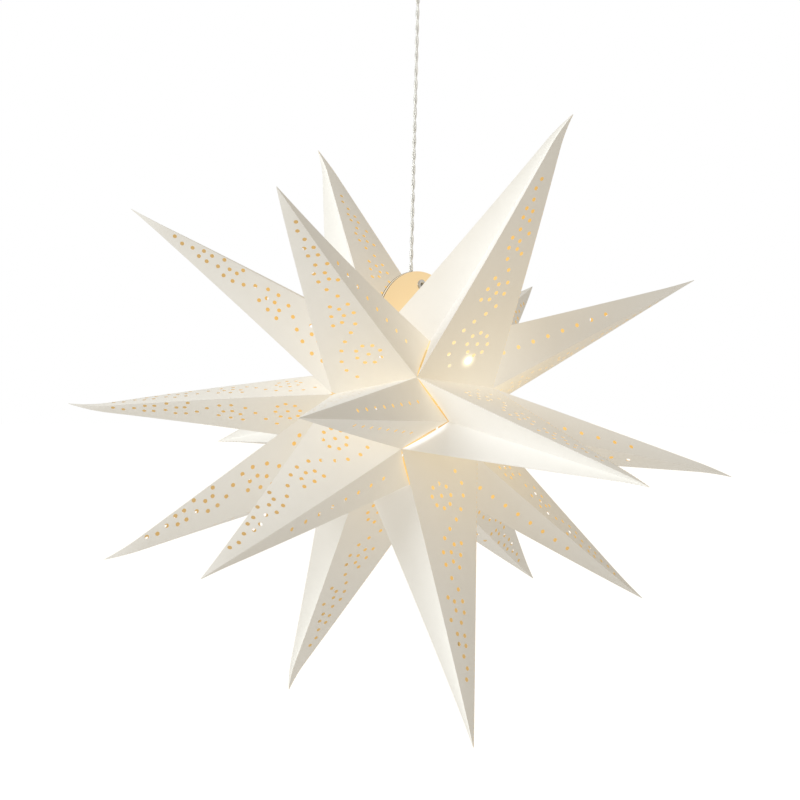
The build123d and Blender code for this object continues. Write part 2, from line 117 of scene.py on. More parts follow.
def clear_soft_plastic():
    """Extruded clear PVC: glossy, hardly tinted, with a faint draw texture along it."""
    material, tree, shader = new_material("clear_soft_plastic", Base_Color=srgb("#F2F2EE"), Roughness=0.12,
                                          IOR=1.53, Transmission_Weight=0.75)
    place = add(tree, "ShaderNodeTexCoord")
    draw = add(tree, "ShaderNodeTexNoise", {"Vector": place.outputs["Object"], "Scale": 1 / DRAW_GRAIN,
                                            "Detail": 2})
    bump = add(tree, "ShaderNodeBump", {"Height": draw.outputs["Fac"], "Strength": 0.15,
                                        "Distance": 0.1 * MM})
    tree.links.new(bump.outputs["Normal"], shader.inputs["Normal"])
    return material


def tinned_copper():
    """Fine tinned copper wires laid together: bright grey metal with the lines of the wires on it."""
    material, tree, shader = new_material("tinned_copper", Base_Color=srgb("#F8F6F2"), Metallic=1.0,
                                          Roughness=0.4)
    place = add(tree, "ShaderNodeTexCoord")
    wires = add(tree, "ShaderNodeTexWave", {"Vector": place.outputs["Object"], "Scale": 1 / WIRE_SPACING,
                                            "Distortion": 1.5}, bands_direction="DIAGONAL")
    bump = add(tree, "ShaderNodeBump", {"Height": wires.outputs["Fac"], "Strength": 0.25,
                                        "Distance": 0.08 * MM})
    tree.links.new(bump.outputs["Normal"], shader.inputs["Normal"])
    return material


def new_piece(name, points, faces, materials, face_materials=None, smooth=True):
    """A mesh object at the origin."""
    mesh = bpy.data.meshes.new(name)
    mesh.from_pydata([tuple(p) for p in points], [], faces)
    for material in materials:
        mesh.materials.append(material)
    if face_materials is not None:
        mesh.polygons.foreach_set("material_index", face_materials)
    mesh.polygons.foreach_set("use_smooth", [smooth] * len(mesh.polygons))
    piece = bpy.data.objects.new(name, mesh)
    scene.collection.objects.link(piece)
    return piece


def along_route(route, name):
    """Points on the smooth line that a route controls."""
    line = bpy.data.curves.new(name, "CURVE")
    line.dimensions = "3D"
    line.resolution_u = 60
    spline = line.splines.new("NURBS")
    spline.points.add(len(route) - 1)
    for point, place in zip(spline.points, route):
        point.co = (*place, 1)
    spline.order_u = 3
    spline.use_endpoint_u = True
    holder = bpy.data.objects.new(name, line)
    mesh = bpy.data.meshes.new_from_object(holder)
    points = np.array([vertex.co[:] for vertex in mesh.vertices])
    bpy.data.objects.remove(holder)
    bpy.data.meshes.remove(mesh)
    return points


def tube(points, radius, sides, first):
    """Corners and faces of a closed round tube. first is the number of its first corner."""
    ahead = np.gradient(points, axis=0)
    ahead /= np.linalg.norm(ahead, axis=1, keepdims=True)
    side = np.cross(ahead, [1.0, 0, 0])
    side /= np.linalg.norm(side, axis=1, keepdims=True)
    other = np.cross(ahead, side)
    corners = []
    for centre, a, b in zip(points, side, other):
        turns = [2 * pi * i / sides for i in range(sides)]
        corners += [centre + radius * (cos(t) * a + sin(t) * b) for t in turns]
    faces = []
    for ring in range(len(points) - 1):
        start = first + ring * sides
        for i in range(sides):
            j = (i + 1) % sides
            faces.append((start + i, start + j, start + sides + j, start + sides + i))
    last = first + (len(points) - 1) * sides
    faces.append(tuple(range(first + sides - 1, first - 1, -1)))
    faces.append(tuple(range(last, last + sides)))
    return corners, faces


def twisted_pair():
    """Both strands of the hanging cord, each a wire core in clear plastic."""
    centre = along_route(CORD_ROUTE, "cord_line")
    run = np.concatenate([[0], np.cumsum(np.linalg.norm(np.diff(centre, axis=0), axis=1))])
    steps = int(run[-1] / TWIST * STEPS_PER_TURN)
    spots = np.linspace(0, run[-1], steps + 1)
    middle = np.stack([np.interp(spots, run, centre[:, k]) for k in range(3)], axis=1)
    corners, faces, kinds = [], [], []
    for strand in range(2):
        turn = 2 * pi * spots / TWIST + pi * strand
        offset = np.stack([np.cos(turn), np.sin(turn), np.zeros_like(turn)], axis=1) * STRAND / 2
        for kind, radius in enumerate((STRAND / 2, STRAND_CORE / 2)):
            more, walls = tube(middle + offset, radius, STRAND_SIDES, len(corners))
            corners += more
            faces += walls
            kinds += [kind] * len(walls)
    piece = new_piece("twisted_cord", corners, faces, [clear_soft_plastic(), tinned_copper()], kinds)
    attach(piece, "cord")
    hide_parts("free_cord")


twisted_pair()

# --- the paper sheets --------------------------------------------------------------------------
# Twelve sheets of white 300 g paper, die-cut with rows of round holes, folded and glued back to
# back. Each is half of a column of three hollow spikes, open along a slit between two spikes.

TIP_RADIUS = 300 * MM  # the middle spike of each column
POLE_TIP_ALONG = 238 * MM  # the two outer spikes, along the star's axis and out from it
POLE_TIP_RADIUS = 173 * MM
POLE_ALONG = 83 * MM
RIM_ALONG = 43 * MM
RIM_RADIUS = 65 * MM
VALLEY_ALONG = 15.7 * MM
VALLEY_RADIUS = 77 * MM
COLUMN_WIDTHS = (71.3, 57.1, 51.6)  # degrees, from the top down, the same on both sides
STAR_TILT = radians(5.75)
CARD_OUTER = 1.95 * MM  # from the closure's plane to the far face of an end card
CARD_GAP = 1.9 * MM  # between the two cards, for the cord
PAPER = 0.3 * MM
TIP_BLUNT = 1.5 * MM
SEAM = 0.7 * MM  # half the width of an open slit, at its ends
SLIT_BOW = 0.7 * MM  # how far the middle of a slit's edge is drawn back from its ends
POLE_HOLE = 2.5 * MM  # cut off each sheet where all twelve meet
GLUE_FIN = 8 * MM
EDGE_STEPS = 28  # along a long fold
BASE_STEPS = 10  # along a foot
HOLE_RADIUS = 1.85 * MM
HOLE_SIDES = 14
HOLE_ROOM = 2.5 * MM  # from a hole's centre to a fold, at least
FULL_SPREAD = 0.338  # width over length of the narrowest side that takes the pattern as it is

# The holes of a perforated side, in millimetres: for each distance up from its foot, how far across
# from its left fold they are. A garland of single holes goes round the rosette, under two flowers.
HOLE_ROWS = {195: (9,), 186: (8.5,), 177: (12.5,), 168: (10.5, 18), 160: (12, 20), 150: (16, 27),
             141: (13, 22), 132: (15, 31), 134: (24,), 123: (20,), 115: (27.5,), 105: (34,), 104: (19,),
             100.5: (26,), 95: (37,), 93: (18, 28.5), 85.5: (25.5,), 82.5: (17.5, 36), 73: (30.5,),
             63: (23.5,), 52.5: (18.5,), 39.5: (16,), 28.5: (18,), 19.5: (25.5,)}
ROSETTE = (46, 40.3)
ROSETTE_RADIUS = 10.8
ROSETTE_PETALS = 8
ROSETTE_TURN = 0.4  # of the way from one petal to the next
GUSSET_HOLES = 8
GUSSET_ROW = (0.41, 0.88)  # where its row starts and ends, as shares of the way from tip to slit
BOW = 1.6 * MM  # how far the middle of a panel stands out of flat
CURL_LENGTH = 32 * MM  # the last part of a spike, next to its point
ON_PLANE = 0.01 * MM
MERGE_DISTANCE = 0.02 * MM
SHARP_FOLD = radians(22)
CLOSURE_SINK = 10 * MM  # how far the shoulders of the cards and of the sheets on them have sunk

# The tables below have as keys the column and the end: -1, 0 for its middle spike, or 1.
# How far the bottom of a gusset has been pushed along and up, in millimetres.
VALLEY_SHIFTS = {(0, -1): (1.4, -9.8)}
# How strong the painted lamplight is beside a slit. The third key is 1 for a column's first sheet and -1 for
# its second.
LEAKS = {(1, 0, -1): 3.5, (1, 0, 1): 0.5, (0, 0, 1): 0.15, (0, 0, -1): 0.15, (0, -1, 1): 0.45}
OUTER_LEAK = 0.25
MIDDLE_LEAK = 0.6

# How the paper of each spike has sagged or been pushed by hand at its point, in millimetres to the
# right and up as the photograph shows it.
BENDS = {(0, -1): (5.5, 5.2), (0, 0): (-3.8, 1.2), (0, 1): (1.7, 1.9), (1, -1): (0, 1.5),
         (1, 0): (0.4, 0.9), (1, 1): (0.8, -2.4), (2, -1): (-4.8, 1.4), (2, 0): (-0.3, -7.7),
         (2, 1): (2.4, 1.8), (3, -1): (-2.6, -2.7), (3, 0): (-4.7, -3.4), (3, 1): (4.6, 3.3),
         (4, -1): (-1.2, -4.8), (4, 0): (0, 3.3), (5, -1): (1.5, -5.0), (5, 0): (2.3, -5.7),
         (5, 1): (-6.5, 0.5)}
# How the last part of each point curls further: right, up and away from the camera.
CURLS = {(0, -1): (0, 0, 3), (0, 0): (4, 0, 7), (0, 1): (5, 2.5, 4), (1, 1): (3, -3, 4),
         (1, 0): (1, -1.5, 3), (2, -1): (-2, -2, 4), (2, 0): (0, -2, 3), (2, 1): (2.5, -1, -3),
         (3, -1): (-4, 1, 5), (3, 0): (3, -2, 6), (3, 1): (2, -2, 3), (4, -1): (-4, 4.5, 5),
         (4, 0): (-2, -1, 4), (5, -1): (-5.5, 4, 5), (5, 0): (-5, 5, 10), (5, 1): (0, 1, 3)}

LAMP_CENTRE = Vector((29.85, 33.60, -380.89)) * MM  # the middle of the globe
HOT_SPOT = Vector((71.7, 6.6, -372.7)) * MM  # where the diodes' beam meets the paper, painted there as a pool of light
HOT_CORE = 2 * MM
HOT_REACH = 10 * MM
LEAK_WIDTH = 11 * MM
NEAR_LAMP = 20 * MM  # where a paper's first glow level holds
FAR_FROM_LAMP = 230 * MM  # and its last
CARD_EDGES_SHOW = 60 * MM  # above this height over the star's centre
CARD_EDGE_HALF = 0.45 * MM  # half the width of the dark line on a card's edge
SKIN = 0.05 * MM
TO_KEY_LIGHT = VIEW_RIGHT * -2.1 + VIEW_AWAY * -1.75 + VIEW_UP
FIBRE = 2.38 * MM  # the paper's grain, drawn coarse so that it shows
CLOUD = 16.7 * MM
star_turn = Matrix.Rotation(-STAR_TILT, 3, "X")


def in_star(x, along, z):
    """A point given in the star's own directions: across its closure, along its axis and up."""
    return STAR_CENTRE + star_turn @ Vector((x, along, z))


def towards(start, end, distance):
    """The point at a distance from the start, on the way to the end."""
    return start + (end - start).normalized() * distance


def painted_slit_and_beam_glow(tree, place, through, tint, leak):
    """Adds painted lamplight beside the open slits, as the slit map says, and a painted pool of light where
    the beam lands.
    """
    slit = add(tree, "ShaderNodeUVMap", uv_map="slit")
    beside = add(tree, "ShaderNodeSeparateXYZ", {"Vector": slit.outputs["UV"]})
    near = add(tree, "ShaderNodeMapRange", {"Value": beside.outputs["X"], "From Min": 0,
                                            "From Max": LEAK_WIDTH, "To Min": 1, "To Max": 0})
    soft = add(tree, "ShaderNodeMath", {0: near.outputs["Result"], 1: 2.2}, operation="POWER")
    amount = add(tree, "ShaderNodeMath", {0: soft.outputs[0], 1: beside.outputs["Y"]}, operation="MULTIPLY")
    through = add(tree, "ShaderNodeMath", {0: through, 1: amount.outputs[0]}, operation="ADD",
                  use_clamp=True).outputs[0]
    tint = add(tree, "ShaderNodeMix", {"Factor": amount.outputs[0], 6: tint, 7: srgb(leak)},
               data_type="RGBA").outputs[2]
    reach = add(tree, "ShaderNodeVectorMath", {0: place.outputs["Object"], 1: HOT_SPOT},
                operation="DISTANCE")
    beam = add(tree, "ShaderNodeMapRange", {"Value": reach.outputs["Value"], "From Min": HOT_CORE,
                                            "From Max": HOT_REACH, "To Min": 1, "To Max": 0})
    beam = add(tree, "ShaderNodeMath", {0: beam.outputs["Result"], 1: 2.5}, operation="POWER")
    through = add(tree, "ShaderNodeMath", {0: beam.outputs[0], 1: 2.2, 2: through},
                  operation="MULTIPLY_ADD").outputs[0]
    tint = add(tree, "ShaderNodeMix", {"Factor": beam.outputs[0], 6: tint, 7: srgb("#FFF3CF")},
               data_type="RGBA").outputs[2]
    return through, tint


def cut_edges(tree, place, plain, through, tint, edge):
    """Draws a dark line along the middle of a card's cut edges, above a height, and pales the painted glow
    between the two cards.
    """
    spot = add(tree, "ShaderNodeSeparateXYZ", {"Vector": place.outputs["Object"]})
    far = add(tree, "ShaderNodeMath", {0: spot.outputs["X"]}, operation="ABSOLUTE").outputs[0]
    inside = add(tree, "ShaderNodeMath", {0: far, 1: (CARD_OUTER + CARD_GAP / 2) / 2, 2: CARD_EDGE_HALF},
                 operation="COMPARE")
    above = add(tree, "ShaderNodeMath", {0: spot.outputs["Z"], 1: STAR_CENTRE.z + CARD_EDGES_SHOW},
                operation="GREATER_THAN")
    cut = add(tree, "ShaderNodeMath", {0: inside.outputs[0], 1: above.outputs[0]},
              operation="MULTIPLY").outputs[0]
    between = add(tree, "ShaderNodeMath", {0: far, 1: CARD_GAP / 2 + SKIN}, operation="LESS_THAN")
    tint = add(tree, "ShaderNodeMix", {"Factor": between.outputs[0], 6: tint, 7: srgb("#F1E9DA")},
               data_type="RGBA").outputs[2]
    plain = add(tree, "ShaderNodeMix", {"Factor": cut, 6: plain, 7: srgb(edge)},
                data_type="RGBA").outputs[2]
    face = add(tree, "ShaderNodeMath", {0: 1, 1: cut}, operation="SUBTRACT")
    through = add(tree, "ShaderNodeMath", {0: through, 1: face.outputs[0]}, operation="MULTIPLY").outputs[0]
    return plain, through, tint


def paper_with_painted_glow(name, lit, shaded, levels, glow, leak=None, edge=None, wash=0.0):
    """Uncoated paper or card: matt, with a cloudy fibre grain, and painted lamplight on it.

    lit and shaded are two tones of the paper, mixed at random by a cloud pattern. levels gives how strong the
    painted glow is, an emission that stands in for the lamp's light showing through the paper, and glow its
    colour, in even steps from next to the lamp to far from it. leak is the colour of the painted glow beside
    an open slit, edge that of a dark line along the middle of a card's cut edges, and wash says how much
    whiter the painted glow is on the side turned to the daylight."""
    material, tree, shader = new_material(name, Roughness=0.85, Specular_IOR_Level=0.2)
    place = add(tree, "ShaderNodeTexCoord")
    fibres = add(tree, "ShaderNodeTexNoise", {"Vector": place.outputs["Object"], "Scale": 1 / FIBRE,
                                              "Detail": 5})
    clouds = add(tree, "ShaderNodeTexNoise", {"Vector": place.outputs["Object"], "Scale": 1 / CLOUD,
                                              "Detail": 3})
    plain = add(tree, "ShaderNodeMix", {"Factor": clouds.outputs["Fac"], 6: srgb(shaded), 7: srgb(lit)},
                data_type="RGBA").outputs[2]
    bump = add(tree, "ShaderNodeBump", {"Height": fibres.outputs["Fac"], "Strength": 0.25,
                                        "Distance": 0.08 * MM})
    tree.links.new(bump.outputs["Normal"], shader.inputs["Normal"])
    reach = add(tree, "ShaderNodeVectorMath", {0: place.outputs["Object"], 1: LAMP_CENTRE},
                operation="DISTANCE")
    away = add(tree, "ShaderNodeMapRange", {"Value": reach.outputs["Value"], "From Min": NEAR_LAMP,
                                            "From Max": FAR_FROM_LAMP})
    share = add(tree, "ShaderNodeValToRGB", {"Fac": away.outputs["Result"]})
    colour = add(tree, "ShaderNodeValToRGB", {"Fac": away.outputs["Result"]})
    for ramp, codes in ((share, [(level, level, level, 1) for level in levels]),
                        (colour, [srgb(code) for code in glow])):
        stops = ramp.color_ramp.elements
        for i in range(1, len(codes) - 1):
            stops.new(i / (len(codes) - 1))
        for stop, code in zip(stops, codes):
            stop.color = code
    # Painted lamplight: through is the strength of the glow and tint its colour.
    through, tint = share.outputs["Color"], colour.outputs["Color"]
    if leak:
        through, tint = painted_slit_and_beam_glow(tree, place, through, tint, leak)
    if edge:
        plain, through, tint = cut_edges(tree, place, plain, through, tint, edge)
    # Painted light: the glow is made whiter on faces turned to the key light.
    normal = add(tree, "ShaderNodeNewGeometry").outputs["Normal"]
    turned = add(tree, "ShaderNodeVectorMath", {0: normal, 1: TO_KEY_LIGHT.normalized()},
                 operation="DOT_PRODUCT")
    washed = add(tree, "ShaderNodeMapRange", {"Value": turned.outputs["Value"], "From Min": 0.1,
                                              "From Max": 0.8, "To Min": 0, "To Max": wash})
    tint = add(tree, "ShaderNodeMix", {"Factor": washed.outputs["Result"], 6: tint, 7: (1, 1, 1, 1)},
               data_type="RGBA").outputs[2]
    # The paint is darkened where the painted glow is strong, and the glow goes in as emission.
    less = add(tree, "ShaderNodeMath", {0: through, 1: 0.8}, operation="MULTIPLY", use_clamp=True)
    paint = add(tree, "ShaderNodeMix", {"Factor": less.outputs[0], 6: plain, 7: srgb("#000000")},
                data_type="RGBA")
    tree.links.new(paint.outputs[2], shader.inputs["Base Color"])
    tree.links.new(tint, shader.inputs["Emission Color"])
    tree.links.new(through, shader.inputs["Emission Strength"])
    return material


# The outer paper glows with painted lamplight, strongest next to the lamp. The inner faces, seen in the holes
# and slits, are a darker, warmer copy of the same paper and glow with painted lamplight almost all over:
# painted light and shade of the lamp inside.
OUTER_PAPER = paper_with_painted_glow("white_paper", "#F7F6F2", "#F2F1EC", (0.5, 0.23, 0.1, 0.02),
                         ("#FFF3DA", "#FCE4B8", "#F8DFB4", "#F4E2C4"), "#F3B648", wash=0.9)
INNER_PAPER = paper_with_painted_glow("inner_paper_painted_lamplight", "#E9DDC4", "#E2D3B4", (0.95, 0.88, 0.78, 0.62),
                         ("#FFEBB6", "#F9D083", "#ECBD69", "#CDAD74"))


def flower_holes(reach):
    """The holes of a perforated side. x runs down its left fold from the tip, y across it."""
    holes = [(reach - up * MM, across * MM) for up, row in HOLE_ROWS.items() for across in row]
    x, y = reach - ROSETTE[0] * MM, ROSETTE[1] * MM
    holes.append((x, y))
    for i in range(ROSETTE_PETALS):
        turn = 2 * pi * (i + ROSETTE_TURN) / ROSETTE_PETALS
        holes.append((x + ROSETTE_RADIUS * MM * cos(turn), y + ROSETTE_RADIUS * MM * sin(turn)))
    return holes


def gusset_holes(tip, rim, valley):
    """A row of holes along the middle of half a gusset."""
    x_dir = (rim - tip).normalized()
    foot = (rim + valley) / 2 - tip
    normal = x_dir.cross(valley - tip).normalized()
    y_dir = normal.cross(x_dir)
    shares = np.linspace(*GUSSET_ROW, GUSSET_HOLES)
    return [(foot.dot(x_dir) * s, foot.dot(y_dir) * s) for s in shares]


def punching_nodes():
    """Fills an outline of edges, with a round hole at each loose point."""
    tree = bpy.data.node_groups.new("punched_paper", "GeometryNodeTree")
    for name, kind in (("Outline", "NodeSocketGeometry"), ("Hole Radius", "NodeSocketFloat"),
                       ("Hole Sides", "NodeSocketInt"), ("Finer", "NodeSocketInt"),
                       ("Paper", "NodeSocketMaterial")):
        tree.interface.new_socket(name, in_out="INPUT", socket_type=kind)
    tree.interface.new_socket("Panel", in_out="OUTPUT", socket_type="NodeSocketGeometry")
    given = add(tree, "NodeGroupInput").outputs
    joined = add(tree, "GeometryNodeInputMeshVertexNeighbors")
    loose = add(tree, "FunctionNodeCompare", {2: joined.outputs["Vertex Count"], 3: 0}, data_type="INT",
                operation="EQUAL")
    parts = add(tree, "GeometryNodeSeparateGeometry", {"Geometry": given["Outline"],
                                                       "Selection": loose.outputs["Result"]})
    outline = add(tree, "GeometryNodeMeshToCurve", {"Mesh": parts.outputs["Inverted"]})
    circle = add(tree, "GeometryNodeCurvePrimitiveCircle", {"Resolution": given["Hole Sides"],
                                                            "Radius": given["Hole Radius"]})
    holes = add(tree, "GeometryNodeInstanceOnPoints", {"Points": parts.outputs["Selection"],
                                                       "Instance": circle.outputs["Curve"]})
    both = add(tree, "GeometryNodeJoinGeometry", {"Geometry": outline.outputs["Curve"]})
    tree.links.new(holes.outputs["Instances"], both.inputs["Geometry"])
    real = add(tree, "GeometryNodeRealizeInstances", {"Geometry": both.outputs["Geometry"]})
    filled = add(tree, "GeometryNodeFillCurve", {"Curve": real.outputs["Geometry"]}, mode="TRIANGLES")
    finer = add(tree, "GeometryNodeSubdivideMesh", {"Mesh": filled.outputs["Mesh"], "Level": given["Finer"]})
    dressed = add(tree, "GeometryNodeSetMaterial", {"Geometry": finer.outputs["Mesh"],
                                                    "Material": given["Paper"]})
    add(tree, "NodeGroupOutput", {"Panel": dressed.outputs["Geometry"]})
    return tree


PUNCHING = punching_nodes()
punched_panels = {}


def punched(outline, holes, finer):
    """Corners and faces of a flat panel with its holes. Panels of one shape are made once."""
    key = tuple(round(c / MM, 3) for point in outline + holes for c in point)
    if key not in punched_panels:
        mesh = bpy.data.meshes.new("panel")
        count = len(outline)
        edges = [(i, (i + 1) % count) for i in range(count)]
        mesh.from_pydata([(x, y, 0) for x, y in outline + holes], edges, [])
        panel = bpy.data.objects.new("panel", mesh)
        scene.collection.objects.link(panel)
        modifier = panel.modifiers.new("punching", "NODES")
        modifier.node_group = PUNCHING
        settings = {"Hole Radius": HOLE_RADIUS, "Hole Sides": HOLE_SIDES, "Finer": finer,
                    "Paper": OUTER_PAPER}
        for item in PUNCHING.interface.items_tree:
            if item.in_out == "INPUT" and item.name in settings:
                modifier[item.identifier] = settings[item.name]
        view = bpy.context.evaluated_depsgraph_get()
        made = bpy.data.meshes.new_from_object(panel.evaluated_get(view))
        corners = [vertex.co.xy.copy() for vertex in made.vertices]
        faces = [tuple(face.vertices) for face in made.polygons]
        bpy.data.objects.remove(panel)
        bpy.data.meshes.remove(made)
        punched_panels[key] = corners, faces
    return punched_panels[key]


def spike_bend(tip, foot_corners, key):
    """How a spike's paper leaves its straight folds: nothing at its foot, most at its tip."""
    middle = sum(foot_corners[1:], foot_corners[0]) / len(foot_corners)
    inward = (middle - tip).normalized()
    reach = min((corner - tip).dot(inward) for corner in foot_corners)
    bend, curl = Vector(), Vector()
    for way, sag, turn in zip((VIEW_RIGHT, VIEW_UP, VIEW_AWAY), (*BENDS.get(key, (0, 0)), 0),
                              CURLS.get(key, (0, 0, 0))):
        bend += way * sag * MM
        curl += way * turn * MM

    def moved(point):
        deep = (point - tip).dot(inward)
        return (point + bend * max(0.0, 1 - deep / reach) ** 2
                + curl * max(0.0, 1 - deep / CURL_LENGTH) ** 2)

    return moved


def divided(corners, steps):
    """The corners of an outline, with each side cut into its own number of steps."""
    points = []
    for start, end, count in zip(corners, corners[1:] + corners[:1], steps):
        points += [start + (end - start) * i / count for i in range(count)]
    return points


def lay_panel(sheet, way, origin, corners, steps, inside, holes=(), bow=0.0, moved=None, finer=1,
              slit=None):
    """Adds a flat panel between folds to a sheet's mesh, with its outer face away from inside.

    The slit map says how far each point is from an open slit, and how wide the slit is there. Points
    on the column's middle plane, which way stands up from, are marked for the second sheet's sake."""
    x_dir = (corners[1] - origin).normalized()
    normal = x_dir.cross(corners[2] - origin).normalized()
    y_dir = normal.cross(x_dir)
    outline = [((p - origin).dot(x_dir), (p - origin).dot(y_dir)) for p in divided(corners, steps)]
    flat, faces = punched(outline, list(holes), finer)
    outward = 1 if normal.dot(origin - inside) > 0 else -1
    reach = max(x for x, y in outline)
    spread = max(y / x for x, y in outline if x > reach / 4)
    made, beside = [], {}
    middle = sheet.verts.layers.int["middle"]
    for x, y in flat:
        point = origin + x_dir * x + y_dir * y
        place = (1, 0)
        if slit:
            along = (slit[1] - slit[0]).normalized()
            run = (point - slit[0]).dot(along)
            share = run / (slit[1] - slit[0]).length
            place = ((point - slit[0] - along * run).length, slit[2] * 4 * share * (1 - share))
        share = min(max(y / (x * spread), 0), 1) if x > 0 else 0
        rise = bow * 4 * share * (1 - share) * max(x / reach, 0) * max(1 - (x / reach) ** 4, 0)
        at_middle = abs((point - STAR_CENTRE).dot(way)) < ON_PLANE
        point = point + normal * outward * rise
        made.append(sheet.verts.new(moved(point) if moved else point))
        made[-1][middle] = at_middle
        beside[made[-1]] = place
    slit_map = sheet.loops.layers.uv["slit"]
    for face in faces:
        walls = [made[i] for i in face]
        turned = (walls[1].co - walls[0].co).cross(walls[2].co - walls[0].co).dot(normal) * outward < 0
        for loop in sheet.faces.new(walls[::-1] if turned else walls).loops:
            loop[slit_map].uv = beside[loop.vert]


def lay_flower_panel(lay, tip, feet, inside, moved):
    """Adds a perforated side. Seen from outside with its tip up, the garland is on its left."""
    if (feet[0] - tip).cross(feet[-1] - tip).dot(tip - inside) < 0:
        feet = feet[::-1]
    corners = [towards(tip, feet[0], TIP_BLUNT), *feet, towards(tip, feet[-1], TIP_BLUNT)]
    steps = [EDGE_STEPS, *[BASE_STEPS if (b - a).length > GLUE_FIN else 1 for a, b in zip(feet, feet[1:])],
             EDGE_STEPS, 1]
    holes = flower_holes((max(feet, key=lambda foot: (foot - tip).length) - tip).length)
    spread = tan((feet[0] - tip).angle(feet[-1] - tip))
    holes = [(x, min(y * min(1, spread / FULL_SPREAD), x * spread - HOLE_ROOM)) for x, y in holes]
    lay(tip, corners, steps, inside, holes, BOW, moved)


def arch(height, band):
    """The eight corners of a band round the opening in a column's side, as along and up."""
    slope = Vector((POLE_ALONG - RIM_ALONG, height)).normalized()
    foot = POLE_ALONG - band / slope.y
    shoulder = RIM_ALONG - band * (1 - slope.x) / slope.y
    start = (POLE_ALONG - POLE_HOLE * slope.x, POLE_HOLE * slope.y)
    outer = [(-start[0], start[1]), (-RIM_ALONG, height), (RIM_ALONG, height), start]
    return outer + [(foot, 0), (shoulder, height - band), (-shoulder, height - band), (-foot, 0)]


def piece_of(solid, name, *materials):
    """Turns an edited mesh into an object at the origin."""
    mesh = bpy.data.meshes.new(name)
    solid.to_mesh(mesh)
    solid.free()
    for material in materials:
        mesh.materials.append(material)
    piece = bpy.data.objects.new(name, mesh)
    scene.collection.objects.link(piece)
    return piece


def give_thickness(piece, way):
    """Gives a folded sheet its wall, on its inner side, and keeps the wall off the second sheet's
    side of the column's middle plane."""
    wall = piece.modifiers.new("paper", "SOLIDIFY")
    wall.thickness = PAPER
    wall.offset = -1
    wall.use_even_offset = False
    wall.material_offset = 1
    view = bpy.context.evaluated_depsgraph_get()
    piece.data = bpy.data.meshes.new_from_object(piece.evaluated_get(view))
    piece.modifiers.clear()
    half = len(piece.data.vertices) // 2
    corners = np.array([vertex.co[:] for vertex in piece.data.vertices])
    fold = np.array([mark.value for mark in piece.data.attributes["middle"].data][:half], bool)
    past = np.minimum((corners[half:] - corners[:half]) @ np.array(way), 0)
    corners[half:] -= np.outer(past * fold, way)
    piece.data.vertices.foreach_set("co", corners.ravel())
    piece.data.polygons.foreach_set("use_smooth", [True] * len(piece.data.polygons))
    piece.data.set_sharp_from_angle(angle=SHARP_FOLD)


